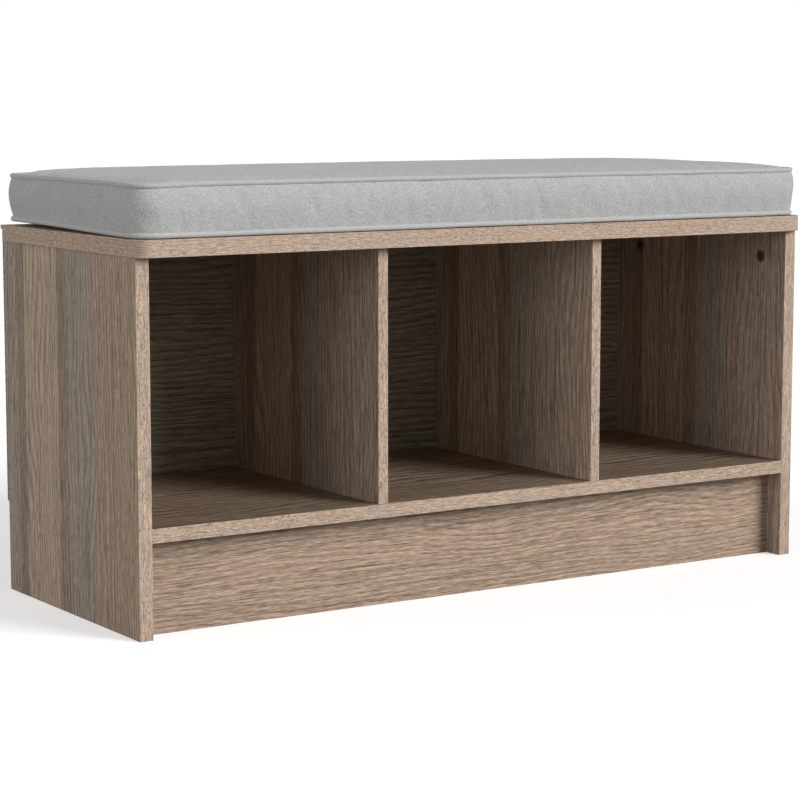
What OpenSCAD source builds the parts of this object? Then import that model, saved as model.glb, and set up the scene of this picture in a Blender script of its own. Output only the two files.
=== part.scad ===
// Entryway bench: three open cubbies on a plinth, with a piped box cushion on top.
// Millimetres. +X is to the right, +Y is to the back, +Z is up.
// The origin is on the floor, under the middle of the top board.

/* [Carcass] */
// Width over the two side panels
carcass_w = 880; // [700:5:1200]
// Depth of the side panels, without the back panel
carcass_d = 322; // [280:1:420]
// Height from the floor to the underside of the top board
carcass_h = 394; // [330:1:460]
// Thickness of the side panels, the shelf and the kick board
panel_t = 15; // [15:1:18]
// Thickness of the two dividers
divider_t = 12; // [12:1:15]
// How far the dividers stop behind the front edges
divider_setback = 2; // [0:0.5:10]
// Thickness of the nailed back panel
back_t = 4; // [3:0.5:5]

/* [Top board] */
// Thickness of the top board
top_t = 18; // [18:1:25]
// How far the top board stands out past each side panel
top_side_overhang = 2; // [0:0.5:20]
// How far the top board stands out in front of the side panels
top_front_overhang = 12; // [0:0.5:20]
// Plan radius of the front corners of the top board
top_corner_r = 16; // [8:1:40]
// Thickness of the lip that covers the top of the back panel
top_lip_t = 4.5; // [3:0.5:6]

/* [Plinth] */
// Height of the kick board, which is the underside of the shelf
kick_h = 101; // [60:1:140]
// How far the kick board stands behind the front edges
kick_setback = 24; // [10:1:60]

/* [Edge banding] */
// Thickness of the edge banding
band_t = 0.8; // [0.4:0.1:1]

/* [Cushion] */
// Width of the cushion over its piping
cushion_w = 881; // [640:1:1180]
// Depth of the cushion over its piping
cushion_d = 331; // [270:1:410]
// Height from the underside of the cover to the seam of the top panel
cushion_h = 52; // [30:1:80]
// Rise of the crowned top in the middle
crown_h = 11; // [4:1:20]
// Plan radius of the cushion corners
cushion_r = 26; // [16:1:50]
// Diameter of the piping
welt_d = 6; // [4:0.2:8]
// Thickness of the cover fabric
fabric_t = 1.2; // [0.8:0.1:2]
// How far the cushion's front piping stands behind the front of the top board
cushion_front_inset = 3; // [0:0.5:10]

/* [Fasteners] */
// Diameter of the cam locks
cam_d = 15; // [12:1:15]
// Depth of the cam locks
cam_t = 12.2; // [11:0.1:12.4]
// Distance from a panel's edge to the centre of its cam locks
cam_edge = 33; // [24:1:34]
// Distance from the front edge to the first row of cam locks
cam_front = 44.5; // [37:0.5:64]
// Diameter of the large dowels
dowel_d = 8; // [8:1:8]
// Length of the large dowels
dowel_l = 30; // [25:1:35]
// Diameter of the dowels in the dividers
divider_dowel_d = 6; // [5:1:6]
// Number of nails along the top and the bottom of the back panel
nails_across = 7; // [5:1:11]
// Number of nails up each upright
nails_up = 3; // [2:1:5]

/* [Hidden] */
$fn = 48;

// colours
wood = [0.56, 0.47, 0.40];
wood_light = [0.70, 0.58, 0.49];
wood_dark = [0.45, 0.38, 0.33];
zinc = [0.55, 0.55, 0.56];
beech = [0.78, 0.63, 0.44];
cloth = [0.66, 0.67, 0.68];
cloth_light = [0.74, 0.75, 0.76];
foam = [0.93, 0.90, 0.78];
black = [0.10, 0.10, 0.11];

// places of the carcass, from the middle of the top board
total_d = top_front_overhang + carcass_d + back_t;
top_w = carcass_w + 2 * top_side_overhang;
board_front = -total_d / 2;
front = board_front + top_front_overhang;
rear = front + carcass_d;
back_face = rear + back_t;
side_out = carcass_w / 2;
side_in = side_out - panel_t;
shelf_top = kick_h + panel_t;
cubby_w = (2 * side_in - 2 * divider_t) / 3;
divider_x = cubby_w / 2 + divider_t / 2;
divider_h = carcass_h - shelf_top;
divider_front = front + divider_setback;
kick_front = front + kick_setback;
board_top = carcass_h + top_t;
back_top = board_top - top_lip_t;
fit_gap = 0.05;
eps = 0.01;

// places of the fasteners
system_pitch = 32;
cam_rows = [front + cam_front, rear - cam_front];
dowel_rows = [front + cam_front + system_pitch, rear - cam_front - system_pitch];
cam_sink = 0.2;
cam_bore_t = cam_t + cam_sink;
recess_l = 8;
recess_w = 1.7;
recess_t = 2.5;
bolt_shank_d = 6;
bolt_thread_d = 5;
bolt_head_d = 7;
bolt_hole_d = 7.6;
bolt_thread_l = 10.5;
bolt_head_half_l = 1.5;
bolt_neck_d = 4.4;
bolt_neck_l = 2.5;
hole_spare = 0.5;
dowel_in_board = 11;
kick_cam_z = kick_h / 2;
kick_dowel_rows = [kick_cam_z - system_pitch, kick_cam_z + system_pitch];
screw_d = 4;
screw_front = 60;
screw_l = 40;
screw_head_d = 8;
screw_head_t = 3;
screw_sink = 0.2;
screw_rows = [front + screw_front, (front + rear) / 2, rear - screw_front];
divider_dowel_front = 70;
divider_dowel_rows = [front + divider_dowel_front, rear - divider_dowel_front];
divider_dowel_in = 10;
nail_d = 1.6;
nail_l = 16;
nail_head_d = 4.2;
nail_head_t = 0.9;
nail_inset = panel_t / 2;

// places of the cushion
patch_w = 60;
patch_d = 22;
patch_r = 3;
patch_t = 1;
patch_x = [-360, 0, 360];
patch_y = [-120, 120];
lift_gap = 0.3;
cushion_z = board_top + 2 * patch_t + lift_gap;
cushion_front = board_front + cushion_front_inset;
cushion_y = cushion_front + cushion_d / 2;
welt_r = welt_d / 2;
welt_gap = 0.5;
seam_w = cushion_w - welt_d;
seam_d = cushion_d - welt_d;
seam_r = cushion_r - welt_r;
bottom_seam_z = board_top + welt_gap + welt_r;
top_seam_z = cushion_z + cushion_h;
crown_inset = 70;
skin_gap = 0.02;

// a rectangle with round corners and true arcs, centred on the origin
module round_rect(w, d, r) {
    square([w - 2 * r, d], center = true);
    square([w, d - 2 * r], center = true);
    for (x = [-1, 1], y = [-1, 1])
        translate([x * (w / 2 - r), y * (d / 2 - r)])
            circle(r);
}

// the plan of the top board: round corners in front, square corners behind
module board_plan(w, d, r) {
    translate([-w / 2, board_front + r])
        square([w, d - r]);
    translate([-w / 2 + r, board_front])
        square([w - 2 * r, r + eps]);
    for (x = [-1, 1])
        translate([x * (w / 2 - r), board_front + r])
            circle(r);
}

// a panel as a plain block between two corners
module block(low, high) {
    translate(low)
        cube(high - low);
}

// a cylinder along X, from one x to another
module rod_x(d, x0, x1, y, z) {
    translate([min(x0, x1), y, z])
        rotate([0, 90, 0])
            cylinder(d = d, h = abs(x1 - x0));
}

// a cylinder along Y, from one y to another
module rod_y(d, y0, y1, x, z) {
    translate([x, max(y0, y1), z])
        rotate([90, 0, 0])
            cylinder(d = d, h = abs(y1 - y0));
}

// a cylinder along Z, from one z to another
module rod_z(d, z0, z1, x, y) {
    translate([x, y, min(z0, z1)])
        cylinder(d = d, h = abs(z1 - z0));
}

// a cam lock standing on the origin, with its recess up and its bolt arriving along +X
module cam_lock() {
    difference() {
        cylinder(d = cam_d - 2 * fit_gap, h = cam_t);
        for (a = [45, 135])
            translate([0, 0, cam_t])
                rotate([0, 0, a])
                    cube([recess_l, recess_w, 2 * recess_t], center = true);
        rod_x(bolt_hole_d, -bolt_head_half_l - hole_spare, cam_d, 0, cam_t - panel_t / 2);
    }
}

// a cam bolt along +X, with its head in the cam at the origin and its thread starting at reach
module cam_bolt(reach) {
    neck_end = bolt_head_half_l + bolt_neck_l;
    rod_x(bolt_head_d, -bolt_head_half_l, bolt_head_half_l, 0, 0);
    rod_x(bolt_neck_d, bolt_head_half_l - eps, neck_end, 0, 0);
    rod_x(bolt_shank_d, neck_end - eps, reach, 0, 0);
    rod_x(bolt_thread_d, reach - eps, reach + bolt_thread_l, 0, 0);
}

module top_board() {
    inner_w = top_w - 2 * band_t;
    color(wood)
        difference() {
            translate([0, 0, carcass_h])
                linear_extrude(top_t)
                    intersection() {
                        board_plan(top_w, total_d, top_corner_r);
                        translate([0, band_t])
                            board_plan(inner_w, total_d - band_t, top_corner_r - band_t);
                    }
            block([-top_w, rear - eps, carcass_h - 1], [top_w, back_face + 1, back_top]);
            for (s = [-1, 1], y = cam_rows)
                rod_z(bolt_thread_d, carcass_h - 1, carcass_h + bolt_thread_l + hole_spare,
                    s * (side_out - panel_t / 2), y);
            for (s = [-1, 1], y = dowel_rows)
                rod_z(dowel_d + 2 * fit_gap, carcass_h - 1, carcass_h + dowel_in_board + hole_spare,
                    s * (side_out - panel_t / 2), y);
            for (s = [-1, 1], y = divider_dowel_rows)
                rod_z(divider_dowel_d + 2 * fit_gap, carcass_h - 1,
                    carcass_h + divider_dowel_in + hole_spare, s * divider_x, y);
        }
}

module top_edge_band() {
    inner_w = top_w - 2 * band_t;
    color(wood_light)
        difference() {
            translate([0, 0, carcass_h])
                linear_extrude(top_t)
                    difference() {
                        board_plan(top_w, total_d, top_corner_r);
                        translate([0, band_t])
                            board_plan(inner_w, total_d + band_t, top_corner_r - band_t);
                    }
            block([-top_w, rear - eps, carcass_h - 1], [top_w, back_face + 1, back_top]);
        }
}

// a side panel, drawn as the right one
module side_panel() {
    mid_x = side_out - panel_t / 2;
    difference() {
        block([side_in, front + band_t, 0], [side_out, rear, carcass_h]);
        for (y = cam_rows) {
            rod_x(cam_d, side_in - 1, side_in + cam_bore_t, y, carcass_h - cam_edge);
            rod_z(bolt_hole_d, carcass_h - cam_edge, carcass_h + 1, mid_x, y);
            rod_x(bolt_thread_d, side_in - 1, side_in + bolt_thread_l + hole_spare,
                y, kick_h + panel_t / 2);
        }
        for (y = dowel_rows) {
            rod_z(dowel_d + 2 * fit_gap, carcass_h - dowel_l + dowel_in_board - hole_spare,
                carcass_h + 1, mid_x, y);
            rod_x(dowel_d + 2 * fit_gap, side_in - 1, side_in + dowel_in_board + hole_spare,
                y, kick_h + panel_t / 2);
        }
        rod_x(bolt_thread_d, side_in - 1, side_in + bolt_thread_l + hole_spare,
            kick_front + panel_t / 2, kick_cam_z);
        for (z = kick_dowel_rows)
            rod_x(dowel_d + 2 * fit_gap, side_in - 1, side_in + dowel_in_board + hole_spare,
                kick_front + panel_t / 2, z);
    }
}

module left_side_panel() {
    color(wood)
        mirror([1, 0, 0])
            side_panel();
}

module right_side_panel() {
    color(wood)
        side_panel();
}

module side_edge_band(side) {
    color(wood_light)
        block([side * side_out - (side > 0 ? panel_t : 0), front, 0],
            [side * side_out + (side > 0 ? 0 : panel_t), front + band_t, carcass_h]);
}

module left_side_edge_band() {
    side_edge_band(-1);
}

module right_side_edge_band() {
    side_edge_band(1);
}

module bottom_shelf() {
    mid_z = kick_h + panel_t / 2;
    color(wood)
        difference() {
            block([-side_in, front + band_t, kick_h], [side_in, rear, shelf_top]);
            for (s = [-1, 1], y = cam_rows) {
                rod_z(cam_d, kick_h - 1, kick_h + cam_bore_t, s * (side_in - cam_edge), y);
                rod_x(bolt_hole_d, s * (side_in - cam_edge), s * (side_in + 1), y, mid_z);
            }
            for (s = [-1, 1], y = dowel_rows)
                rod_x(dowel_d + 2 * fit_gap, s * (side_in - dowel_l + dowel_in_board - hole_spare),
                    s * (side_in + 1), y, mid_z);
            for (s = [-1, 1], y = screw_rows)
                rod_z(screw_d + 2 * fit_gap, kick_h - 1, shelf_top + 1, s * divider_x, y);
            for (s = [-1, 1], y = screw_rows)
                rod_z(screw_head_d + 2 * fit_gap, kick_h - 1, kick_h + screw_head_t,
                    s * divider_x, y);
        }
}

module shelf_edge_band() {
    color(wood_light)
        block([-side_in, front, kick_h], [side_in, front + band_t, shelf_top]);
}

// a divider, drawn as the right one
module divider() {
    screw_end = kick_h + screw_l;
    difference() {
        block([divider_x - divider_t / 2, divider_front + band_t, shelf_top],
            [divider_x + divider_t / 2, rear, carcass_h]);
        for (y = screw_rows)
            rod_z(screw_d + 2 * fit_gap, shelf_top - 1, screw_end + hole_spare, divider_x, y);
        for (y = divider_dowel_rows)
            rod_z(divider_dowel_d + 2 * fit_gap, carcass_h - dowel_l + divider_dowel_in - hole_spare,
                carcass_h + 1, divider_x, y);
    }
}

module left_divider() {
    color(wood)
        mirror([1, 0, 0])
            divider();
}

module right_divider() {
    color(wood)
        divider();
}

module divider_edge_band(side) {
    x = side * divider_x;
    color(wood_light)
        block([x - divider_t / 2, divider_front, shelf_top],
            [x + divider_t / 2, divider_front + band_t, carcass_h]);
}

module left_divider_edge_band() {
    divider_edge_band(-1);
}

module right_divider_edge_band() {
    divider_edge_band(1);
}

module kick_board() {
    mid_y = kick_front + panel_t / 2;
    color(wood)
        difference() {
            block([-side_in, kick_front, 0], [side_in, kick_front + panel_t, kick_h]);
            for (s = [-1, 1]) {
                rod_y(cam_d, kick_front + panel_t - cam_bore_t, kick_front + panel_t + 1,
                    s * (side_in - cam_edge), kick_cam_z);
                rod_x(bolt_hole_d, s * (side_in - cam_edge), s * (side_in + 1),
                    mid_y, kick_cam_z);
            }
            for (s = [-1, 1], z = kick_dowel_rows)
                rod_x(dowel_d + 2 * fit_gap, s * (side_in - dowel_l + dowel_in_board - hole_spare),
                    s * (side_in + 1), mid_y, z);
        }
}

// x places of the nails along the top and the bottom edge of the back panel
function nail_x(i) = -side_out + nail_inset
    + i * (2 * side_out - 2 * nail_inset) / (nails_across - 1);

// z places of the nails up an upright, between the top and the bottom rows
function nail_z(i) = shelf_top + (i + 1) * (carcass_h - shelf_top) / (nails_up + 1);

nail_places = concat(
    [for (i = [0 : nails_across - 1]) [nail_x(i), kick_h + nail_inset]],
    [for (i = [0 : nails_across - 1]) [nail_x(i), carcass_h + nail_inset - 1]],
    [for (x = [-side_out + nail_inset, -divider_x, divider_x, side_out - nail_inset],
        i = [0 : nails_up - 1]) [x, nail_z(i)]]);

module back_panel() {
    color(wood_dark)
        difference() {
            block([-side_out, rear, kick_h], [side_out, back_face, back_top]);
            for (p = nail_places) {
                rod_y(nail_d + 2 * fit_gap, rear - 1, back_face + 1, p[0], p[1]);
                rod_y(nail_head_d + 2 * fit_gap, back_face - nail_head_t, back_face + 1,
                    p[0], p[1]);
            }
        }
}

module back_nails() {
    color(zinc)
        for (p = nail_places) {
            rod_y(nail_head_d, back_face - nail_head_t, back_face, p[0], p[1]);
            rod_y(nail_d, back_face - nail_l, back_face - nail_head_t + eps, p[0], p[1]);
        }
}

// cam locks in the inner faces of the side panels, which draw the top board down
module top_cam_locks() {
    color(zinc)
        for (s = [-1, 1], y = cam_rows)
            translate([s * (side_in + cam_t), y, carcass_h - cam_edge])
                rotate([0, -s * 90, 0])
                    rotate([0, 0, s > 0 ? 0 : 180])
                        cam_lock();
}

module top_cam_bolts() {
    color(zinc)
        for (s = [-1, 1], y = cam_rows)
            translate([s * (side_out - panel_t / 2), y, carcass_h - cam_edge])
                rotate([0, -90, 0])
                    cam_bolt(cam_edge);
}

// cam locks in the underside of the shelf
module shelf_cam_locks() {
    color(zinc)
        for (s = [-1, 1], y = cam_rows)
            translate([s * (side_in - cam_edge), y, kick_h + cam_t])
                rotate([180, 0, s > 0 ? 0 : 180])
                    cam_lock();
}

module shelf_cam_bolts() {
    color(zinc)
        for (s = [-1, 1], y = cam_rows)
            translate([s * (side_in - cam_edge), y, kick_h + panel_t / 2])
                rotate([0, 0, s > 0 ? 0 : 180])
                    cam_bolt(cam_edge);
}

// cam locks in the rear face of the kick board
module kick_cam_locks() {
    color(zinc)
        for (s = [-1, 1])
            translate([s * (side_in - cam_edge), kick_front + panel_t - cam_t, kick_cam_z])
                rotate([-90, 0, 0])
                    rotate([0, 0, s > 0 ? 0 : 180])
                        cam_lock();
}

module kick_cam_bolts() {
    color(zinc)
        for (s = [-1, 1])
            translate([s * (side_in - cam_edge), kick_front + panel_t / 2, kick_cam_z])
                rotate([0, 0, s > 0 ? 0 : 180])
                    cam_bolt(cam_edge);
}

module carcass_dowels() {
    up = carcass_h + dowel_in_board;
    out = side_in + dowel_in_board;
    color(beech) {
        for (s = [-1, 1], y = dowel_rows) {
            rod_z(dowel_d, up - dowel_l, up, s * (side_out - panel_t / 2), y);
            rod_x(dowel_d, s * (out - dowel_l), s * out, y, kick_h + panel_t / 2);
        }
        for (s = [-1, 1], z = kick_dowel_rows)
            rod_x(dowel_d, s * (out - dowel_l), s * out, kick_front + panel_t / 2, z);
    }
}

module divider_dowels() {
    up = carcass_h + divider_dowel_in;
    color(beech)
        for (s = [-1, 1], y = divider_dowel_rows)
            rod_z(divider_dowel_d, up - dowel_l, up, s * divider_x, y);
}

module divider_screws() {
    color(zinc)
        for (s = [-1, 1], y = screw_rows) {
            rod_z(screw_head_d, kick_h + screw_sink, kick_h + screw_head_t, s * divider_x, y);
            rod_z(screw_d, kick_h + screw_head_t - eps, kick_h + screw_l, s * divider_x, y);
        }
}

// one layer of the fastening patches, with its underside at z
module patches(z) {
    for (x = patch_x, y = patch_y)
        translate([x, cushion_y + y, z])
            linear_extrude(patch_t)
                round_rect(patch_w, patch_d, patch_r);
}

module hook_patches() {
    color(black)
        patches(board_top);
}

module loop_patches() {
    color(black)
        patches(cushion_z - patch_t);
}

// a prism with round corners, drawn in from the seam line
module cushion_prism(inset, z0, z1) {
    translate([0, cushion_y, z0])
        linear_extrude(z1 - z0)
            round_rect(seam_w - 2 * inset, seam_d - 2 * inset, seam_r - inset);
}

// the crowned cap that the top panel follows
module crown(inset, drop) {
    hull() {
        cushion_prism(inset, top_seam_z, top_seam_z + 0.2);
        cushion_prism(inset + crown_inset / 3, top_seam_z, top_seam_z + 0.75 * crown_h - drop);
        translate([0, cushion_y, top_seam_z])
            linear_extrude(crown_h - drop)
                square([seam_w - 3 * crown_inset, seam_d - 3 * crown_inset], center = true);
    }
}

module foam_core() {
    color(foam)
        union() {
            cushion_prism(fabric_t + skin_gap, cushion_z + fabric_t + skin_gap, top_seam_z);
            crown(fabric_t + skin_gap, fabric_t + skin_gap);
        }
}

module cover_top() {
    color(cloth)
        difference() {
            crown(0, 0);
            crown(fabric_t, fabric_t);
            cushion_prism(fabric_t, top_seam_z - 1, top_seam_z + 0.3);
        }
}

module cover_boxing() {
    color(cloth_light)
        difference() {
            cushion_prism(0, cushion_z + fabric_t, top_seam_z);
            cushion_prism(fabric_t, cushion_z, top_seam_z + 1);
            welt(bottom_seam_z);
            welt(top_seam_z);
        }
}

module cover_bottom() {
    color(cloth)
        cushion_prism(welt_r + 0.1, cushion_z, cushion_z + fabric_t);
}

// a loop of piping round the seam line at height z
module welt(z) {
    run_x = seam_w / 2 - seam_r;
    run_y = seam_d / 2 - seam_r;
    translate([0, cushion_y, z]) {
        for (s = [-1, 1]) {
            rod_x(welt_d, -run_x, run_x, s * seam_d / 2, 0);
            rod_y(welt_d, -run_y, run_y, s * seam_w / 2, 0);
        }
        for (i = [0 : 3])
            translate([(i == 0 || i == 3 ? 1 : -1) * run_x, (i < 2 ? 1 : -1) * run_y, 0])
                rotate([0, 0, 90 * i])
                    rotate_extrude(angle = 90)
                        translate([seam_r, 0])
                            circle(d = welt_d);
    }
}

module top_welt() {
    color(cloth_light)
        difference() {
            welt(top_seam_z);
            cushion_prism(0, top_seam_z - welt_d, top_seam_z + welt_d);
        }
}

module bottom_welt() {
    color(cloth_light)
        difference() {
            welt(bottom_seam_z);
            cushion_prism(0, bottom_seam_z - welt_d, bottom_seam_z + welt_d);
        }
}

top_board();
top_edge_band();
left_side_panel();
right_side_panel();
left_side_edge_band();
right_side_edge_band();
bottom_shelf();
shelf_edge_band();
left_divider();
right_divider();
left_divider_edge_band();
right_divider_edge_band();
kick_board();
back_panel();
top_cam_locks();
top_cam_bolts();
shelf_cam_locks();
shelf_cam_bolts();
kick_cam_locks();
kick_cam_bolts();
carcass_dowels();
divider_dowels();
divider_screws();
back_nails();
hook_patches();
loop_patches();
foam_core();
cover_top();
cover_boxing();
cover_bottom();
top_welt();
bottom_welt();
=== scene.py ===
import math

import bmesh
import bpy
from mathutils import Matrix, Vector, noise


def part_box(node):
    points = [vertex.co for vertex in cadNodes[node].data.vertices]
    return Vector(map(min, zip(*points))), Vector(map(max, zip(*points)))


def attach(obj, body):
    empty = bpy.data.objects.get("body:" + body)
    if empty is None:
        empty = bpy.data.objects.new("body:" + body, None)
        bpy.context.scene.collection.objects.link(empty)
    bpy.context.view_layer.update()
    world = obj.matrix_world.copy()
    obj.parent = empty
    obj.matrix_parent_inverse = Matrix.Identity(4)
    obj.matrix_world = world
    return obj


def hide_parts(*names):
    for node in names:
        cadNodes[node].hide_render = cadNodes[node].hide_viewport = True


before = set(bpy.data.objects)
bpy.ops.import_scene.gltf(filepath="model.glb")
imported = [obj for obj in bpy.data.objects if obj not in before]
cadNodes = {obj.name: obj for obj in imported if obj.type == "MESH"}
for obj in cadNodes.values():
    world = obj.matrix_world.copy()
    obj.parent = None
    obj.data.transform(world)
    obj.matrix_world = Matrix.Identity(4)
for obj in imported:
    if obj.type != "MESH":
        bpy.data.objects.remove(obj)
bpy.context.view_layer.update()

scene = bpy.context.scene

# angles in degrees, lengths in metres, the lens in millimetres
cameraLook = {
    "azimuth": -32.92,
    "elevation": 7.325,
    "distance": 2.8364,
    "lens": 110.108,
    "aim": (-0.0209, 0.0015, 0.2039),
}

studioLook = {
    "floorSize": 30.0,
    "floorShown": (0.93, 0.93, 0.93),
    "floorBounce": (0.30, 0.29, 0.28),
    "floorLift": 0.46,
    "ambient": 0.18,
    # azimuth and elevation that the light comes from, its strength, and how wide it is in degrees
    "suns": {
        "keySun": (32.0, 23.0, 2.62, 30.0),
        "fillSun": (-70.0, 7.0, 0.66, 30.0),
        "leftSun": (-98.0, 22.0, 0.52, 30.0),
        "rearSun": (172.0, 8.0, 0.60, 30.0),
    },
}


def directionTo(azimuth, elevation):
    turn, rise = math.radians(azimuth), math.radians(elevation)
    return Vector((math.sin(turn) * math.cos(rise), -math.cos(turn) * math.cos(rise), math.sin(rise)))


def makeCamera(look):
    data = bpy.data.cameras.new("benchCamera")
    data.sensor_width = 36.0
    data.lens = look["lens"]
    camera = bpy.data.objects.new("benchCamera", data)
    away = directionTo(look["azimuth"], look["elevation"])
    camera.location = Vector(look["aim"]) + away * look["distance"]
    camera.rotation_euler = (-away).to_track_quat("-Z", "Y").to_euler()
    scene.collection.objects.link(camera)
    scene.camera = camera


def makeWorld(look):
    world = bpy.data.worlds.new("studioWorld")
    world.use_nodes = True
    scene.world = world
    tree = world.node_tree
    background = tree.nodes["Background"]
    background.inputs["Color"].default_value = (1.0, 1.0, 1.0, 1.0)
    # the backdrop shows white, and lights the bench only a little
    seen = addNode(tree, "ShaderNodeLightPath").outputs["Is Camera Ray"]
    strength = addNode(tree, "ShaderNodeMix", {"Factor": seen, "A": look["ambient"], "B": 1.0})
    tree.links.new(strength.outputs["Result"], background.inputs["Strength"])


def makeFloor(look):
    bm = bmesh.new()
    bmesh.ops.create_grid(bm, x_segments=1, y_segments=1, size=look["floorSize"] / 2)
    floor = meshObject("studioFloor", bm)
    material, tree, shown = newMaterial("paleFloor")
    shown.inputs["Base Color"].default_value = rgba(look["floorShown"])
    shown.inputs["Roughness"].default_value = 0.9
    shown.inputs["Specular IOR Level"].default_value = 0.0
    shown.inputs["Emission Color"].default_value = (1.0, 1.0, 1.0, 1.0)
    shown.inputs["Emission Strength"].default_value = look["floorLift"]
    # the camera sees a white floor, while the bench gets only a weak bounce from it
    bounce = addNode(tree, "ShaderNodeBsdfDiffuse", {"Color": rgba(look["floorBounce"])})
    seen = addNode(tree, "ShaderNodeLightPath").outputs["Is Camera Ray"]
    mix = addNode(tree, "ShaderNodeMixShader",
                  {"Fac": seen, 1: bounce.outputs["BSDF"], 2: shown.outputs["BSDF"]})
    tree.links.new(mix.outputs["Shader"], tree.nodes["Material Output"].inputs["Surface"])
    floor.data.materials.append(material)


def makeSuns(look):
    for name, (azimuth, elevation, strength, softness) in look["suns"].items():
        data = bpy.data.lights.new(name, "SUN")
        data.energy = strength
        data.angle = math.radians(softness)
        lamp = bpy.data.objects.new(name, data)
        lamp.rotation_euler = (-directionTo(azimuth, elevation)).to_track_quat("-Z", "Y").to_euler()
        scene.collection.objects.link(lamp)


def meshObject(name, bm):
    mesh = bpy.data.meshes.new(name)
    bm.to_mesh(mesh)
    bm.free()
    piece = bpy.data.objects.new(name, mesh)
    scene.collection.objects.link(piece)
    return piece


def shadeSmooth(piece):
    piece.data.polygons.foreach_set("use_smooth", [True] * len(piece.data.polygons))


def applyModifiers(piece):
    shape = piece.evaluated_get(bpy.context.evaluated_depsgraph_get())
    baked = bpy.data.meshes.new_from_object(shape)
    piece.modifiers.clear()
    old = piece.data
    piece.data = baked
    bpy.data.meshes.remove(old)
    baked.name = piece.name


def finishPiece(piece, body, slot, material, *stoodFor):
    piece.data.materials.clear()
    piece.data.materials.append(material)
    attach(piece, body)
    if stoodFor:
        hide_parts(*stoodFor)


def addNode(tree, kind, inputs=None, **settings):
    node = tree.nodes.new(kind)
    for key, value in settings.items():
        setattr(node, key, value)
    for key, value in (inputs or {}).items():
        if isinstance(value, bpy.types.NodeSocket):
            tree.links.new(value, node.inputs[key])
        else:
            node.inputs[key].default_value = value
    return node


def math2(tree, operation, a, b=0.0, clamp=False):
    return addNode(tree, "ShaderNodeMath", {0: a, 1: b}, operation=operation,
                   use_clamp=clamp).outputs[0]


def mapRange(tree, value, low, high, outLow=0.0, outHigh=1.0, smooth=True):
    kind = "SMOOTHSTEP" if smooth else "LINEAR"
    return addNode(tree, "ShaderNodeMapRange",
                   {"Value": value, "From Min": low, "From Max": high, "To Min": outLow, "To Max": outHigh},
                   interpolation_type=kind).outputs["Result"]


def mixColour(tree, factor, a, b, blend="MIX"):
    # sockets 6 and 7 take the two colours, and output 2 gives the mixed one
    return addNode(tree, "ShaderNodeMix", {0: factor, 6: a, 7: b},
                   data_type="RGBA", blend_type=blend).outputs[2]


def stretched(tree, vector, scale):
    return addNode(tree, "ShaderNodeVectorMath", {0: vector, 1: scale}, operation="MULTIPLY").outputs[0]


def noiseValue(tree, vector, detail=2.0, roughness=0.5):
    return addNode(tree, "ShaderNodeTexNoise",
                   {"Vector": vector, "Scale": 1.0, "Detail": detail, "Roughness": roughness}).outputs["Fac"]


def newGroup(name, inputs, outputs):
    group = bpy.data.node_groups.new(name, "ShaderNodeTree")
    for socketName, kind, value in inputs:
        socket = group.interface.new_socket(socketName, in_out="INPUT", socket_type=kind)
        if value is not None:
            socket.default_value = value
    for socketName, kind in outputs:
        group.interface.new_socket(socketName, in_out="OUTPUT", socket_type=kind)
    source = group.nodes.new("NodeGroupInput")
    sink = group.nodes.new("NodeGroupOutput")
    return group, source.outputs, sink.inputs


def useGroup(tree, group, values):
    return addNode(tree, "ShaderNodeGroup", values, node_tree=group).outputs


def newMaterial(name):
    material = bpy.data.materials.new(name)
    material.use_nodes = True
    tree = material.node_tree
    return material, tree, tree.nodes["Principled BSDF"]


def objectPlace(tree):
    return addNode(tree, "ShaderNodeTexCoord").outputs["Object"]


def addBump(tree, shader, height, distance, strength, invert=False):
    bump = addNode(tree, "ShaderNodeBump", {"Height": height, "Distance": distance, "Strength": strength},
                   invert=invert)
    tree.links.new(bump.outputs["Normal"], shader.inputs["Normal"])


def rgba(colour, tint=(1.0, 1.0, 1.0)):
    return (*(min(1.0, c * t) for c, t in zip(colour, tint)), 1.0)


# noise cells per metre, along the grain and across it
printGrain = {
    "wander": (3.4, 11.0, 11.0),
    "ripple": (18.0, 60.0, 60.0),
    "streak": (5.0, 420.0, 420.0),
    "fibre": (90.0, 1100.0, 1100.0),
    "cluster": (3.0, 70.0, 70.0),
    # how many rings a strip's red moves it by, and how far the ripple bends a ring
    "stripJump": 40.0,
    "rippleBend": 0.8,
}


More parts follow.
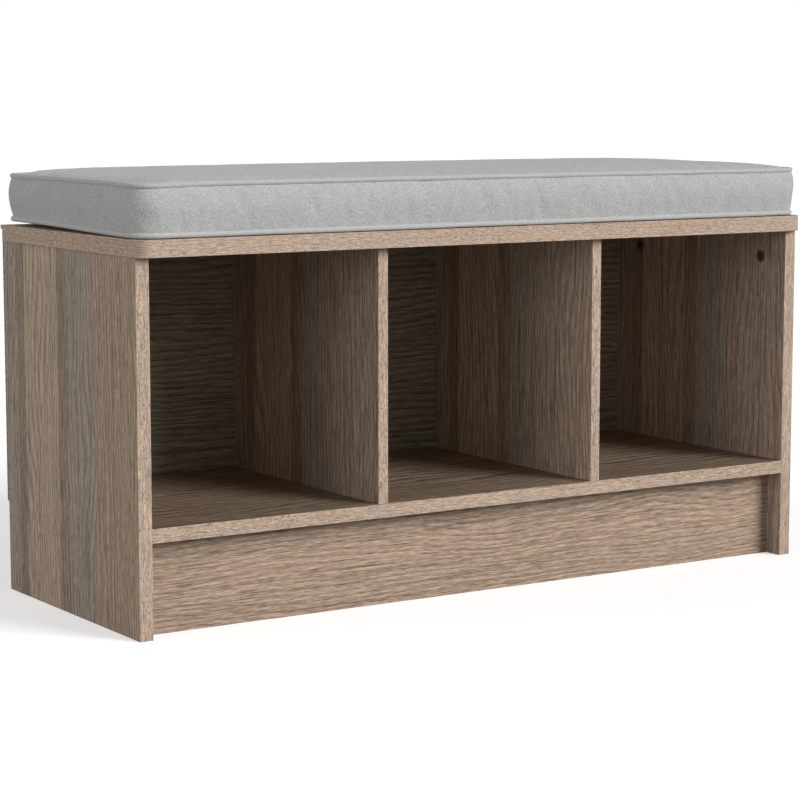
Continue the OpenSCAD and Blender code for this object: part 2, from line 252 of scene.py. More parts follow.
def makeWoodGroup(look):
    # the vector runs along the grain in X and across it in Y, in metres
    tree, given, out = newGroup("woodPrint", [
        ("Vector", "NodeSocketVector", None),
        ("Base", "NodeSocketColor", (0.5, 0.4, 0.33, 1.0)),
        ("Dark", "NodeSocketColor", (0.2, 0.15, 0.12, 1.0)),
        ("Ring Density", "NodeSocketFloat", 140.0),
        ("Ring Wander", "NodeSocketFloat", 6.0),
        ("Ring Strength", "NodeSocketFloat", 0.45),
        ("Streak Strength", "NodeSocketFloat", 0.5),
        ("Pore Strength", "NodeSocketFloat", 0.5),
        ("Pore Size", "NodeSocketVector", (55.0, 800.0, 800.0)),
    ], [
        ("Color", "NodeSocketColor"),
        ("Height", "NodeSocketFloat"),
        ("Roughness", "NodeSocketFloat"),
    ])
    vector = given["Vector"]
    across = addNode(tree, "ShaderNodeSeparateXYZ", {0: vector}).outputs["Y"]

    # growth rings: a saw-tooth across the grain, bent into arches by a slow wander
    wander = noiseValue(tree, stretched(tree, vector, look["wander"]), detail=1.0, roughness=0.4)
    ripple = noiseValue(tree, stretched(tree, vector, look["ripple"]), detail=2.0)
    phase = math2(tree, "MULTIPLY", across, given["Ring Density"])
    phase = math2(tree, "ADD", phase, math2(tree, "MULTIPLY", wander, given["Ring Wander"]))
    # the tone of a strip, read from its red, also gives it a place of its own among the rings
    red = addNode(tree, "ShaderNodeSeparateColor", {0: given["Base"]}).outputs["Red"]
    phase = math2(tree, "ADD", phase, math2(tree, "MULTIPLY", red, look["stripJump"]))
    phase = math2(tree, "ADD", phase, math2(tree, "MULTIPLY", ripple, look["rippleBend"]))
    tooth = math2(tree, "FRACT", phase)
    lateWood = math2(tree, "SUBTRACT", mapRange(tree, tooth, 0.30, 0.90), mapRange(tree, tooth, 0.90, 1.0))

    # fine streaks of fibre, and short dark pores that come in clusters
    streak = noiseValue(tree, stretched(tree, vector, look["streak"]), detail=3.0, roughness=0.7)
    fibre = noiseValue(tree, stretched(tree, vector, look["fibre"]), detail=2.0, roughness=0.6)
    pore = noiseValue(tree, stretched(tree, vector, given["Pore Size"]), detail=1.0)
    cluster = noiseValue(tree, stretched(tree, vector, look["cluster"]), detail=1.0)
    poreMask = math2(tree, "MULTIPLY", mapRange(tree, pore, 0.53, 0.66),
                     mapRange(tree, cluster, 0.30, 0.62, 0.45))
    streakMask = mapRange(tree, streak, 0.48, 0.72)

    tone = given["Base"]
    for mask, strength in ((lateWood, "Ring Strength"), (streakMask, "Streak Strength"),
                           (poreMask, "Pore Strength")):
        tone = mixColour(tree, math2(tree, "MULTIPLY", mask, given[strength]), tone, given["Dark"])
    shade = mapRange(tree, fibre, 0.25, 0.75, 0.50, 1.50, smooth=False)
    shade = addNode(tree, "ShaderNodeCombineColor", {0: shade, 1: shade, 2: shade}).outputs[0]
    tone = mixColour(tree, 1.0, tone, shade, "MULTIPLY")
    tree.links.new(tone, out["Color"])

    height = math2(tree, "SUBTRACT", math2(tree, "MULTIPLY", fibre, 0.35),
                   math2(tree, "MULTIPLY", poreMask, 0.8))
    height = math2(tree, "SUBTRACT", height, math2(tree, "MULTIPLY", streak, 0.4))
    tree.links.new(height, out["Height"])
    tree.links.new(mapRange(tree, pore, 0.3, 0.8, 0.50, 0.66, smooth=False), out["Roughness"])
    return tree


def makeArrisGroup():
    # a mask that is 1 on the sharp edges of a board and 0 on its faces
    tree, given, out = newGroup("arrisMask", [
        ("Radius", "NodeSocketFloat", 0.0008),
        ("Amount", "NodeSocketFloat", 0.5),
    ], [("Mask", "NodeSocketFloat")])
    bevel = addNode(tree, "ShaderNodeBevel", {"Radius": given["Radius"]}, samples=4)
    facing = addNode(tree, "ShaderNodeNewGeometry")
    dot = addNode(tree, "ShaderNodeVectorMath",
                  {0: bevel.outputs["Normal"], 1: facing.outputs["Normal"]}, operation="DOT_PRODUCT")
    mask = mapRange(tree, dot.outputs["Value"], 0.995, 0.86)
    tree.links.new(math2(tree, "MULTIPLY", mask, given["Amount"]), out["Mask"])
    return tree


woodGroup = makeWoodGroup(printGrain)
arrisGroup = makeArrisGroup()


# which turn brings each grain direction onto X
grainTurns = {
    "X": (0.0, 0.0, 0.0),
    "Z": (0.0, math.pi / 2, 0.0),
    "edgeX": (math.pi / 2, 0.0, 0.0),
}

# the strips of the print, from one edge of a board to the other: where each starts, and its tone
uprightStrips = ((0.0, (0.57, 0.43, 0.33)), (0.31, (0.49, 0.43, 0.37)), (0.51, (0.46, 0.355, 0.275)),
                 (0.58, (0.66, 0.515, 0.39)), (0.84, (0.42, 0.33, 0.265)), (0.90, (0.53, 0.44, 0.365)))
levelStrips = ((0.0, (0.58, 0.455, 0.355)), (0.36, (0.62, 0.475, 0.365)), (0.74, (0.54, 0.43, 0.34)))

woodLook = {
    # the colour of the rings, streaks and pores, before the board's tint
    "dark": (0.125, 0.088, 0.062),
    "strips": uprightStrips,
    # from where to where across the board the strips lie: here from the carcass's front to its back
    "span": (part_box("left_side_edge_band")[0].y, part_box("left_side_panel")[1].y),
    "tint": (1.0, 1.0, 1.0),
    # rings per metre, how far they wander, and how dark they are
    "rings": (130.0, 11.0, 0.38),
    "streak": 0.70,
    "pore": 0.70,
    "pores": (26.0, 1000.0, 1000.0),
    "bump": 0.12,
    "arris": 0.35,
}


def stripRamp(tree, value, strips, tint):
    ramp = addNode(tree, "ShaderNodeValToRGB", {0: value})
    ramp.color_ramp.interpolation = "CONSTANT"
    stops = ramp.color_ramp.elements
    while len(stops) > 1:
        stops.remove(stops[-1])
    for i, (start, tone) in enumerate(strips):
        stop = stops[0] if i == 0 else stops.new(start)
        stop.position = start
        stop.color = rgba(tone, tint)
    return ramp.outputs["Color"]


def woodMaterial(name, grain, shift, **changes):
    look = {**woodLook, **changes}
    material, tree, shader = newMaterial(name)
    place = objectPlace(tree)
    x, y, z = addNode(tree, "ShaderNodeSeparateXYZ", {0: place}).outputs
    if grain == "round":
        # the band runs round the board, so its grain takes X and Y together
        turned = addNode(tree, "ShaderNodeCombineXYZ", {0: math2(tree, "ADD", x, y), 1: z}).outputs[0]
    else:
        turned = addNode(tree, "ShaderNodeMapping",
                         {"Vector": place, "Rotation": grainTurns[grain], "Location": shift}).outputs[0]
    side = y if grain in ("X", "Z") else z
    base = stripRamp(tree, mapRange(tree, side, *look["span"], smooth=False), look["strips"], look["tint"])
    density, wander, strength = look["rings"]
    grainPrint = useGroup(tree, woodGroup, {
        "Vector": turned, "Base": base, "Dark": rgba(look["dark"], look["tint"]),
        "Ring Density": density, "Ring Wander": wander, "Ring Strength": strength,
        "Streak Strength": look["streak"], "Pore Strength": look["pore"], "Pore Size": look["pores"]})
    # painted highlight: the sharp edges of the board are painted paler, for the light a rounded arris would
    # catch
    edgeMask = useGroup(tree, arrisGroup, {"Radius": 0.0009, "Amount": look["arris"]})
    pale = mixColour(tree, 1.0, base, (1.2, 1.2, 1.2, 1.0), "MULTIPLY")
    colour = mixColour(tree, edgeMask["Mask"], grainPrint["Color"], pale)
    tree.links.new(colour, shader.inputs["Base Color"])
    tree.links.new(grainPrint["Roughness"], shader.inputs["Roughness"])
    addBump(tree, shader, grainPrint["Height"], 0.0004, look["bump"])
    shader.inputs["Specular IOR Level"].default_value = 0.28
    return material


# each board's grain direction, where its print starts, and what differs from woodLook
boardFinishes = {
    "top_board": ("X", (0.3, 0.1, 0.0), {"strips": levelStrips}),
    "left_side_panel": ("Z", (0.0, 0.52, 0.0), {"tint": (0.97, 0.95, 0.92)}),
    "right_side_panel": ("Z", (0.5, 1.21, 0.0), {"tint": (0.90, 0.91, 0.93)}),
    "left_divider": ("Z", (1.1, 2.13, 0.0), {"tint": (0.84, 0.85, 0.86)}),
    "right_divider": ("Z", (1.9, 3.02, 0.0), {"tint": (1.01, 1.01, 1.01)}),
    # painted shade: the shelf's darker tint stands in for the shade inside the cubbies
    "bottom_shelf": ("X", (0.7, 0.63, 0.0), {"tint": (0.68, 0.64, 0.58), "strips": levelStrips,
                                             "rings": (80.0, 7.0, 0.80), "streak": 0.9}),
    "kick_board": ("edgeX", (0.2, 0.91, 0.0), {"rings": (170.0, 9.0, 0.36), "tint": (0.91, 0.85, 0.80),
                                               "strips": levelStrips,
                                               "span": (0.0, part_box("kick_board")[1].z)}),
    # painted shade: the back panel's darker, cooler tint stands in for the dim light at the back of the
    # cubbies
    "back_panel": ("edgeX", (1.4, 1.57, 0.0), {"rings": (130.0, 9.0, 0.50), "tint": (0.70, 0.78, 0.88),
                                               "strips": levelStrips, "span": (0.1, 0.4)}),
}

bandLook = {
    "dark": (0.19, 0.125, 0.085),
    "strips": ((0.0, (0.59, 0.445, 0.34)),),
    "rings": (260.0, 3.0, 0.10),
    "streak": 0.30,
    "pore": 0.80,
    "pores": (260.0, 1300.0, 1300.0),
    "bump": 0.15,
    "arris": 0.15,
}

# each band's grain direction, and where its print starts
bandFinishes = {
    "top_edge_band": ("round", (0.0, 0.0, 0.0)),
    "left_side_edge_band": ("Z", (0.2, 0.0, 0.0)),
    "right_side_edge_band": ("Z", (0.6, 0.4, 0.0)),
    "shelf_edge_band": ("edgeX", (0.9, 0.2, 0.0)),
    "left_divider_edge_band": ("Z", (1.3, 0.7, 0.0)),
    "right_divider_edge_band": ("Z", (1.7, 0.9, 0.0)),
}


def dressNode(name, material):
    piece = cadNodes[name]
    piece.data.materials.clear()
    piece.data.materials.append(material)


def dressBoards():
    for name, (grain, shift, changes) in boardFinishes.items():
        dressNode(name, woodMaterial(name + "Print", grain, shift, **changes))
    for name, (grain, shift) in bandFinishes.items():
        dressNode(name, woodMaterial(name + "Print", grain, shift, **bandLook))


# colour and roughness
castZinc = ((0.30, 0.28, 0.27), 0.48)
platedSteel = ((0.58, 0.56, 0.52), 0.32)
metalFinishes = {
    "top_cam_locks": castZinc,
    "shelf_cam_locks": castZinc,
    "kick_cam_locks": castZinc,
    "top_cam_bolts": platedSteel,
    "shelf_cam_bolts": platedSteel,
    "kick_cam_bolts": platedSteel,
    "divider_screws": ((0.60, 0.57, 0.47), 0.34),
    "back_nails": ((0.52, 0.52, 0.51), 0.36),
}


def metalMaterial(name, colour, roughness):
    material, tree, shader = newMaterial(name)
    blotch = noiseValue(tree, stretched(tree, objectPlace(tree), (350.0, 350.0, 350.0)), detail=3.0)
    # the sharp edges are painted brighter than the rest of the metal part
    edgeMask = useGroup(tree, arrisGroup, {"Radius": 0.0004, "Amount": 0.6})
    base = mixColour(tree, mapRange(tree, blotch, 0.35, 0.7), rgba(colour), rgba(colour, (0.72, 0.72, 0.72)))
    base = mixColour(tree, edgeMask["Mask"], base, rgba(colour, (1.5, 1.5, 1.5)))
    tree.links.new(base, shader.inputs["Base Color"])
    tree.links.new(mapRange(tree, blotch, 0.3, 0.7, roughness - 0.08, roughness + 0.14),
                   shader.inputs["Roughness"])
    shader.inputs["Metallic"].default_value = 1.0
    addBump(tree, shader, blotch, 0.0002, 0.2)
    return material


# the tape's colour, and how many hooks or loops it has to the metre
tapeFinishes = {
    "hook_patches": ("hookTape", (0.035, 0.035, 0.04), 900.0),
    "loop_patches": ("loopTape", (0.05, 0.05, 0.055), 1400.0),
}


def tapeMaterial(name, colour, scale):
    material, tree, shader = newMaterial(name)
    hooks = addNode(tree, "ShaderNodeTexVoronoi",
                    {"Vector": objectPlace(tree), "Scale": scale}).outputs["Distance"]
    base = mixColour(tree, mapRange(tree, hooks, 0.1, 0.5), rgba(colour), rgba(colour, (0.3, 0.3, 0.3)))
    tree.links.new(base, shader.inputs["Base Color"])
    shader.inputs["Roughness"].default_value = 0.85
    addBump(tree, shader, hooks, 0.0006, 0.8, invert=True)
    return material


beechLook = {
    "dark": (0.40, 0.26, 0.15),
    "strips": ((0.0, (0.66, 0.47, 0.29)),),
    "rings": (400.0, 2.0, 0.2),
}


def dressFittings():
    for name, (colour, roughness) in metalFinishes.items():
        dressNode(name, metalMaterial(name + "Metal", colour, roughness))
    beech = woodMaterial("beechDowel", "Z", (0.0, 0.0, 0.0), **beechLook)
    dressNode("carcass_dowels", beech)
    dressNode("divider_dowels", beech)
    for name, (tape, colour, scale) in tapeFinishes.items():
        dressNode(name, tapeMaterial(tape, colour, scale))


cushionLook = {
    "cells": (176, 66, 10),
    "cornerRound": 0.023,
    # the height of the crown above the top seam: a steep rise at the edge, then a slow one
    "edgeRise": 0.0068,
    "edgeRuns": (0.019, 0.014),
    "middleRise": 0.0036,
    "middleRun": 0.16,
    "crownStart": 0.008,
    # how far the boxing stands out between its seams, how high it is fullest, and how full it is
    "bulge": 0.0043,
    "bulgeHigh": 1.35,
    "bulgeFull": 0.8,
    # how far the bottom seam curls up off the board at the left, the right and the back
    "curl": (0.004, 0.002, 0.003),
    "curlRun": 0.28,
    # the underside turns up to the seam over this run
    "underRun": 0.007,
    # the top seam: its lift, its dips at the front left corner and at the right, its waves
    "topLift": 0.0005,
    "cornerDip": (0.0013, 0.06),
    "rightDip": 0.0008,
    "seamWave": (0.0003, 0.07),
    # the lumps of the cloth: height, width and seed
    "lumps": ((0.0004, 0.045, 0.0), (0.00025, 0.018, 3.0)),
    "pressure": 4.0,
    "frames": 20,
    "boxingCap": 0.0008,
    "topCap": 0.0014,
    "fabric": 0.0012,
    "foamGap": 0.0018,
}

# the seams run along the middle of the piping
topWeltLow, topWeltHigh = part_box("top_welt")
lowWeltLow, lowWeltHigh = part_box("bottom_welt")
weltRadius = (topWeltHigh.z - topWeltLow.z) / 2
topSeam = (topWeltHigh.z + topWeltLow.z) / 2
bottomSeam = (lowWeltHigh.z + lowWeltLow.z) / 2
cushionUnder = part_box("cover_bottom")[0].z
seamHalf = (topWeltHigh.x - weltRadius, (topWeltHigh.y - topWeltLow.y) / 2 - weltRadius)
cushionMid = (topWeltHigh.y + topWeltLow.y) / 2
seamFront = cushionMid - seamHalf[1]
cornerRound = cushionLook["cornerRound"]
cornerArc = cornerRound * math.pi / 2
straight = (seamHalf[0] - cornerRound, seamHalf[1] - cornerRound)
seamWhole = 4 * (straight[0] + straight[1] + cornerArc)


def smoothStep(t):
    t = max(0.0, min(1.0, t))
    return t * t * (3 - 2 * t)


def lump(x, y, z, size, seed=0.0):
    return noise.noise(Vector((x / size + seed, y / size - seed, z / size)))


def seamDepth(x, y):
    # how far a point lies inside the seam's rounded rectangle
    pastX, pastY = abs(x) - straight[0], abs(y - cushionMid) - straight[1]
    return cornerRound - math.hypot(max(pastX, 0.0), max(pastY, 0.0)) - min(max(pastX, pastY), 0.0)


def seamOutward(x, y):
    # the plan direction that leaves the seam's rounded rectangle squarely
    pastX, pastY = max(abs(x) - straight[0], 0.0), max(abs(y - cushionMid) - straight[1], 0.0)
    if pastX == pastY == 0.0:
        return Vector((0.0, 0.0))
    return Vector((math.copysign(pastX, x), math.copysign(pastY, y - cushionMid))).normalized()


def seamLevels(x, y):
    # the heights of the bottom and the top seam above a point of the plan
    look = cushionLook
    left, right, back = look["curl"]
    side = (x / seamHalf[0] + 1) / 2
    ends = left * (1 - side) + right * side
    behind = smoothStep((y - cushionMid) / seamHalf[1])
    curl = smoothStep((y - seamFront) / look["curlRun"]) * (ends * (1 - behind) + max(ends, back) * behind)
    corner = math.hypot(x + seamHalf[0], y - seamFront)
    dip, dipRun = look["cornerDip"]
    top = topSeam + look["topLift"] - dip * math.exp(-(corner / dipRun) ** 2)
    top -= look["rightDip"] * smoothStep(2 * side - 1)
    wave, waveLength = look["seamWave"]
    return bottomSeam + curl, top + wave * lump(x, y, 0.0, waveLength)


def wayRound(x, y):
    # the distance round the seam, from the middle of the right end, counter-clockwise
    a, b = straight
    y -= cushionMid
    if abs(x) > a and abs(y) > b:
        quarter = b + math.atan2(abs(y) - b, abs(x) - a) * cornerRound
    elif abs(x) >= seamHalf[0] - cornerRound / 2 and abs(y) <= b:
        quarter = abs(y)
    else:
        quarter = b + cornerArc + a - abs(x)
    half = seamWhole / 2
    if x < 0:
        quarter = half - quarter
    return quarter if y >= 0 else seamWhole - quarter


def roundCorner(x, y):
    # bends a square corner of the plan into a round one, with its edge on the arc
    farX, farY = (abs(x) - straight[0]) / cornerRound, (abs(y) - straight[1]) / cornerRound
    if farX <= 0 or farY <= 0:
        return x, y
    reach = cornerRound * max(farX, farY)
    turn = farY / farX * math.pi / 4 if farX > farY else math.pi / 2 - farX / farY * math.pi / 4
    return (math.copysign(straight[0] + reach * math.cos(turn), x),
            math.copysign(straight[1] + reach * math.sin(turn), y))


def crownHeight(x, y):
    look = cushionLook
    gapX, gapY = seamHalf[0] - abs(x), seamHalf[1] - abs(y - cushionMid)
    runX, runY = look["edgeRuns"]
    edge = (1 - math.exp(-gapX / runX)) * (1 - math.exp(-gapY / runY))
    middle = smoothStep(gapX / look["middleRun"]) * smoothStep(gapY / look["middleRun"])
    start = smoothStep(seamDepth(x, y) / look["crownStart"] + 0.2)
    return start * (look["edgeRise"] * edge + look["middleRise"] * middle)


def cushionBlank():
    # a closed skin of even cells, whose seams are edge loops
    # its materials only keep the parts apart: 0 is the top, 1 the boxing, 2 the bottom
    look = cushionLook
    bm = bmesh.new()
    bmesh.ops.create_cube(bm, size=1.0)
    for axis, cells in enumerate(look["cells"]):
        along = [e for e in bm.edges if abs(e.verts[0].co[axis] - e.verts[1].co[axis]) > 0.5]
        bmesh.ops.subdivide_edges(bm, edges=along, cuts=cells - 1, use_grid_fill=True)
    for face in bm.faces:
        normal = face.normal
        face.material_index = 0 if normal.z > 0.5 else 2 if normal.z < -0.5 else 1
    held = []
    for v in bm.verts:
        sideX, sideY, sideZ = v.co * 2
        onTop, under = sideZ > 0.999, sideZ < -0.999
        onSeam = (onTop or under) and max(abs(sideX), abs(sideY)) > 0.999
        if onSeam or under:
            held.append(v.index)
        x, y = roundCorner(sideX * seamHalf[0], sideY * seamHalf[1])
        y += cushionMid
        low, high = seamLevels(x, y)
        outward = seamOutward(x, y)
        if onTop:
            z = high + crownHeight(x, y)
        elif under:
            z = cushionUnder + (low - cushionUnder) * math.exp(-max(seamDepth(x, y), 0.0) / look["underRun"])
        else:
            rise = (sideZ + 1) / 2
            z = low + (high - low) * rise
            full = look["bulge"] * math.sin(math.pi * rise ** look["bulgeHigh"]) ** look["bulgeFull"]
            x, y = x + outward.x * full, y + outward.y * full
        soft = sum(height * lump(x, y, z, width, seed) for height, width, seed in look["lumps"])
        if onTop and not onSeam:
            z += soft
        elif not onTop and not under:
            x, y = x + outward.x * soft, y + outward.y * soft
        v.co = (x, y, z)
    bm.verts.index_update()
    blank = meshObject("cushionSkin", bm)
    for name in ("top", "boxing", "bottom"):
        blank.data.materials.append(bpy.data.materials.new(name + "Marker"))
    return blank, held


def inflate(skin, held):
    # the cloth is blown up from inside, then kept within its caps
    look = cushionLook
    start = [v.co.copy() for v in skin.data.vertices]
    sewn = skin.vertex_groups.new(name="sewn")
    sewn.add(held, 1.0, "REPLACE")
    cloth = skin.modifiers.new("cloth", "CLOTH")
    settings = cloth.settings
    settings.quality = 6
    settings.mass = 0.3
    settings.tension_stiffness = 30.0
    settings.compression_stiffness = 30.0
    settings.shear_stiffness = 12.0
    settings.bending_stiffness = 1.5
    settings.use_pressure = True
    settings.uniform_pressure_force = look["pressure"]
    settings.shrink_min = -0.012
    settings.vertex_group_mass = "sewn"
    settings.pin_stiffness = 10.0
    settings.effector_weights.gravity = 0.0
    cloth.collision_settings.use_collision = False
    cloth.collision_settings.use_self_collision = False
    cloth.point_cache.frame_start = 1
    cloth.point_cache.frame_end = look["frames"]
    for frameNumber in range(1, look["frames"] + 1):
        scene.frame_set(frameNumber)
    applyModifiers(skin)
    scene.frame_set(1)
    tops = {i for f in skin.data.polygons if f.material_index == 0 for i in f.vertices}
    for v in skin.data.vertices:
        cap = look["topCap"] if v.index in tops else look["boxingCap"]
        move = v.co - start[v.index]
        if move.length > cap:
            v.co = start[v.index] + move * (cap / move.length)


def mapCloth(piece, boxing):
    # the piece's own map in metres: round the seam and up on the boxing, the plan elsewhere
    layer = piece.data.uv_layers.new(name="clothMap")
    points = piece.data.vertices
    for face in piece.data.polygons:
        if boxing:
            ways = [wayRound(points[i].co.x, points[i].co.y) for i in face.vertices]
            if max(ways) - min(ways) > seamWhole / 2:
                ways = [w + seamWhole if w < seamWhole / 2 else w for w in ways]
            spots = [(w, points[i].co.z) for w, i in zip(ways, face.vertices)]
        else:
            spots = [(points[i].co.x, points[i].co.y) for i in face.vertices]
        for loop, spot in zip(face.loop_indices, spots):
            layer.data[loop].uv = spot


def splitSkin(skin, part, name):
    bm = bmesh.new()
    bm.from_mesh(skin.data)
    others = [f for f in bm.faces if f.material_index != part]
    bmesh.ops.delete(bm, geom=others, context="FACES")
    for face in bm.faces:
        face.material_index = 0
    return meshObject(name, bm)


def foamPiece(skin):
    # the foam fills the cover, a little inside it
    bm = bmesh.new()
    bm.from_mesh(skin.data)
    bm.normal_update()
    moves = [(v, -v.normal * cushionLook["foamGap"]) for v in bm.verts]
    for v, move in moves:
        v.co += move
    for face in bm.faces:
        face.material_index = 0
    return meshObject("foamCore", bm)


weltLook = {
    "sides": 14,
    "step": 0.004,
    "slack": 0.0001,
    # height, length and seed of the puckers and of the drift up and down
    "puckers": ((0.00016, 0.012, 0.0), (0.00012, 0.05, 5.0)),
    "drift": (0.00025, 0.09, 9.0),
    # height and spacing of the creases, and how long they stay regular
    "crease": (0.00008, 0.009, 0.03),
}


def seamPath(level):
    # points along the bottom seam (level 0) or the top one (level 1), with their outward directions
    # and their distances round it
    a, b = straight
    count = round(seamWhole / weltLook["step"])
    # the straight runs name their outward direction and where they start, the arcs have none
    runs = [(b, (1, 0), (seamHalf[0], 0)), (cornerArc, None, (a, b)),
            (2 * a, (0, 1), (a, seamHalf[1])), (cornerArc, None, (-a, b)),
            (2 * b, (-1, 0), (-seamHalf[0], b)), (cornerArc, None, (-a, -b)),
            (2 * a, (0, -1), (-a, -seamHalf[1])), (cornerArc, None, (a, -b)),
            (b, (1, 0), (seamHalf[0], -b))]
    path = []
    for i in range(count):
        distance = seamWhole * i / count
        gone, corner = distance, 0
        for length, out, start in runs:
            if gone < length:
                break
            gone -= length
            corner += out is None
        if out is None:
            turn = (corner + gone / cornerArc) * math.pi / 2
            way = Vector((math.cos(turn), math.sin(turn), 0))
            spot = Vector((*start, 0)) + way * cornerRound
        else:
            way = Vector((*out, 0))
            spot = Vector((*start, 0)) + Vector((-way.y, way.x, 0)) * gone
        spot.y += cushionMid
        spot.z = seamLevels(spot.x, spot.y)[level]
        path.append((spot, way, distance))
    return path


def weltPiece(name, level, seed):
    # fabric sewn round a cord: a tube with slight puckers and an uneven line
    look = weltLook
    sides = look["sides"]
    driftHeight, driftLength, driftSeed = look["drift"]
    creaseHeight, creaseGap, creaseRun = look["crease"]
    bm = bmesh.new()
    rings = []
    for spot, way, s in seamPath(level):
        pucker = sum(deep * lump(s, 0.0, 0.0, long, seed + more) for deep, long, more in look["puckers"])
        drift = driftHeight * lump(s, 0.0, 0.0, driftLength, seed + driftSeed)
        ring = []
        for k in range(sides):
            turn = 2 * math.pi * k / sides
            crease = creaseHeight * math.sin(2 * math.pi * s / creaseGap + turn
                                             + 2 * lump(s, 0, 0, creaseRun, seed))
            reach = weltRadius - look["slack"] + pucker + crease
            ring.append(bm.verts.new(spot + way * reach * math.cos(turn)
                                     + Vector((0, 0, reach * math.sin(turn) + drift))))
        rings.append(ring)
    layer = bm.loops.layers.uv.new("clothMap")
    girth = 2 * math.pi * weltRadius
    for i, ring in enumerate(rings):
        after = rings[(i + 1) % len(rings)]
        for k in range(sides):
            n = (k + 1) % sides
            face = bm.faces.new((ring[k], after[k], after[n], ring[n]))
            spots = ((i, k), (i + 1, k), (i + 1, k + 1), (i, k + 1))
            for loop, (u, v) in zip(face.loops, spots):
                loop[layer].uv = (seamWhole * u / len(rings), girth * v / sides)
    bmesh.ops.recalc_face_normals(bm, faces=bm.faces[:])
    piece = meshObject(name, bm)
    shadeSmooth(piece)
    return piece


# noise cells per metre, and how far each one pushes the colour up or down
napGrain = {
    "unsteady": 320.0,
    "sway": (0.0006, 0.0006, 0.0),
    "nap": (620.0, 620.0, 620.0),
    "napPush": 3.4,
    "brushed": (150.0, 150.0, 190.0),
    "brushedPush": 0.5,
    "broad": (14.0, 14.0, 18.0),
    "broadPush": 0.3,
    # the shares of the weave and of the nap in the relief
    "relief": (0.25, 1.5),
}


def swing(tree, value, amount):
    # a value round one half becomes a push up or down
    return math2(tree, "MULTIPLY", math2(tree, "SUBTRACT", value, 0.5), amount)


def makeWeaveGroup(look):
    # a brushed plain weave: the vector is in metres along the threads, the place in the object's own metres
    tree, given, out = newGroup("brushedWeave", [
        ("Vector", "NodeSocketVector", None),
        ("Place", "NodeSocketVector", None),
        ("Light", "NodeSocketColor", (0.5, 0.5, 0.5, 1.0)),
        ("Dark", "NodeSocketColor", (0.4, 0.4, 0.4, 1.0)),
        ("Threads", "NodeSocketFloat", 900.0),
        ("Weave Strength", "NodeSocketFloat", 0.4),
        ("Mottle Strength", "NodeSocketFloat", 0.5),
    ], [
        ("Color", "NodeSocketColor"),
        ("Height", "NodeSocketFloat"),
        ("Roughness", "NodeSocketFloat"),
    ])
    place = given["Place"]

    # the threads sway a little, and cross over and under
    unsteady = addNode(tree, "ShaderNodeTexNoise",
                       {"Vector": place, "Scale": look["unsteady"], "Detail": 1.0})
    sway = stretched(tree, unsteady.outputs["Color"], look["sway"])
    bent = addNode(tree, "ShaderNodeVectorMath", {0: given["Vector"], 1: sway}, operation="ADD").outputs[0]
    parts = addNode(tree, "ShaderNodeSeparateXYZ", {0: bent}).outputs
    rate = math2(tree, "MULTIPLY", given["Threads"], math.pi)
    warp = math2(tree, "SINE", math2(tree, "MULTIPLY", parts["X"], rate))
    weft = math2(tree, "SINE", math2(tree, "MULTIPLY", parts["Y"], rate))
    over = mapRange(tree, math2(tree, "MULTIPLY", warp, weft), -0.8, 0.8)

    # the nap mottles the cloth at three sizes
    nap = noiseValue(tree, stretched(tree, place, look["nap"]), detail=2.0, roughness=0.6)
    brushed = noiseValue(tree, stretched(tree, place, look["brushed"]), detail=3.0, roughness=0.6)
    broad = noiseValue(tree, stretched(tree, place, look["broad"]), detail=2.0)
    mottle = math2(tree, "ADD", swing(tree, nap, look["napPush"]), swing(tree, brushed, look["brushedPush"]))
    mottle = math2(tree, "ADD", mottle, swing(tree, broad, look["broadPush"]))
    weave = math2(tree, "ADD", swing(tree, over, given["Weave Strength"]), 0.5)
    level = math2(tree, "ADD", weave, math2(tree, "MULTIPLY", mottle, given["Mottle Strength"]), clamp=True)
    tree.links.new(mixColour(tree, level, given["Dark"], given["Light"]), out["Color"])

    weaveShare, napShare = look["relief"]
    relief = math2(tree, "ADD", math2(tree, "MULTIPLY", over, weaveShare),
                   math2(tree, "MULTIPLY", nap, napShare))
    tree.links.new(relief, out["Height"])
    tree.links.new(mapRange(tree, nap, 0.3, 0.7, 0.80, 0.95, smooth=False), out["Roughness"])
    return tree


weaveGroup = makeWeaveGroup(napGrain)

fabricLook = {
    "light": (0.65, 0.655, 0.645),
    "dark": (0.435, 0.44, 0.435),
    "weave": 0.35,
    "mottle": 0.9,
    "threads": 1000.0,
    "sheen": 0.25,
    "bump": 1.0,
}

# the piping is the same cloth, pulled tight over its cord
pipingLook = {
    "light": (0.66, 0.665, 0.66),
    "dark": (0.48, 0.485, 0.485),
    "mottle": 0.6,
}


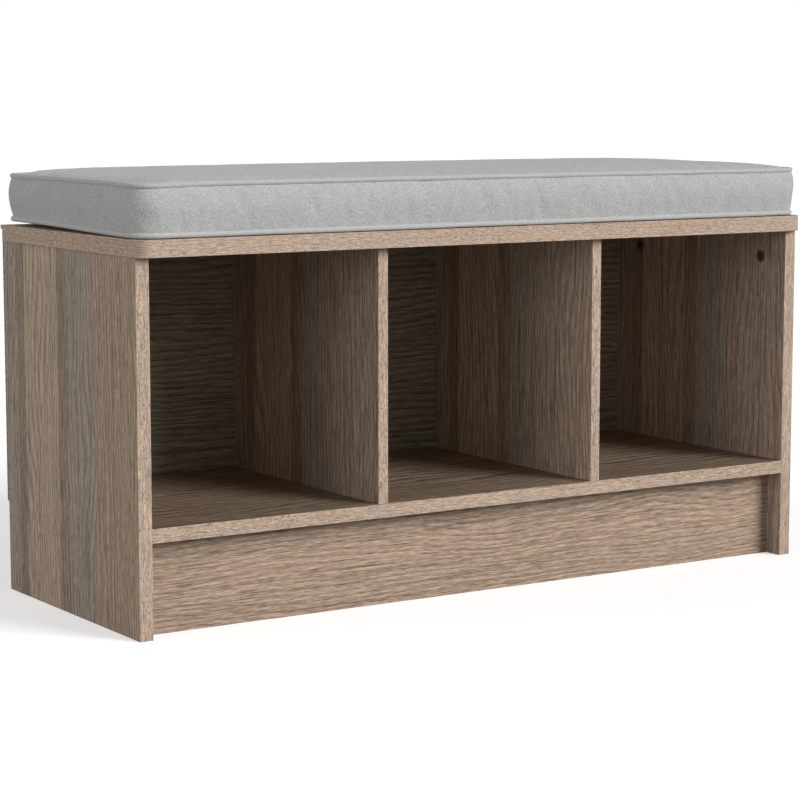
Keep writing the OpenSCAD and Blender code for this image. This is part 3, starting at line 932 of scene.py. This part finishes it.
def fabricMaterial(name, **changes):
    look = {**fabricLook, **changes}
    material, tree, shader = newMaterial(name)
    own = addNode(tree, "ShaderNodeUVMap", uv_map="clothMap").outputs["UV"]
    cloth = useGroup(tree, weaveGroup, {
        "Vector": own, "Place": objectPlace(tree), "Light": rgba(look["light"]), "Dark": rgba(look["dark"]),
        "Threads": look["threads"], "Weave Strength": look["weave"], "Mottle Strength": look["mottle"]})
    tree.links.new(cloth["Color"], shader.inputs["Base Color"])
    tree.links.new(cloth["Roughness"], shader.inputs["Roughness"])
    shader.inputs["Specular IOR Level"].default_value = 0.15
    shader.inputs["Sheen Weight"].default_value = look["sheen"]
    shader.inputs["Sheen Roughness"].default_value = 0.5
    addBump(tree, shader, cloth["Height"], 0.0006, look["bump"])
    return material


foamLook = {
    "wall": (0.50, 0.45, 0.32),
    "cell": (0.82, 0.77, 0.62),
    "cellsPerMetre": 900.0,
}


def foamMaterial(look):
    material, tree, shader = newMaterial("openFoam")
    cells = addNode(tree, "ShaderNodeTexVoronoi",
                    {"Vector": objectPlace(tree), "Scale": look["cellsPerMetre"]}).outputs["Distance"]
    base = mixColour(tree, mapRange(tree, cells, 0.1, 0.6), rgba(look["wall"]), rgba(look["cell"]))
    tree.links.new(base, shader.inputs["Base Color"])
    shader.inputs["Roughness"].default_value = 0.9
    addBump(tree, shader, cells, 0.0005, 0.7)
    return material


def makeCushion():
    skin, held = cushionBlank()
    inflate(skin, held)
    foam = foamPiece(skin)
    shadeSmooth(foam)
    finishPiece(foam, "cushion", "foam", foamMaterial(foamLook), "foam_core")
    smoother = skin.modifiers.new("smoother", "SUBSURF")
    smoother.levels = smoother.render_levels = 1
    applyModifiers(skin)
    cover = fabricMaterial("coverFabric")
    for part, name, node in ((0, "coverTop", "cover_top"), (1, "coverBoxing", "cover_boxing"),
                             (2, "coverBottom", "cover_bottom")):
        piece = splitSkin(skin, part, name)
        shadeSmooth(piece)
        mapCloth(piece, part == 1)
        thick = piece.modifiers.new("clothThickness", "SOLIDIFY")
        thick.thickness = cushionLook["fabric"]
        thick.offset = -1.0
        finishPiece(piece, "cushion", "cover_fabric", cover, node)
    bpy.data.objects.remove(skin)
    piping = fabricMaterial("weltFabric", **pipingLook)
    for name, node, level, seed in (("topWelt", "top_welt", 1, 1.0), ("bottomWelt", "bottom_welt", 0, 4.0)):
        finishPiece(weltPiece(name, level, seed), "cushion", "welt_fabric", piping, node)


print("camera and studio")
makeCamera(cameraLook)
makeWorld(studioLook)
makeFloor(studioLook)
makeSuns(studioLook)
scene.view_settings.view_transform = "Standard"

print("carcass finishes")
dressBoards()
dressFittings()

print("cushion")
makeCushion()
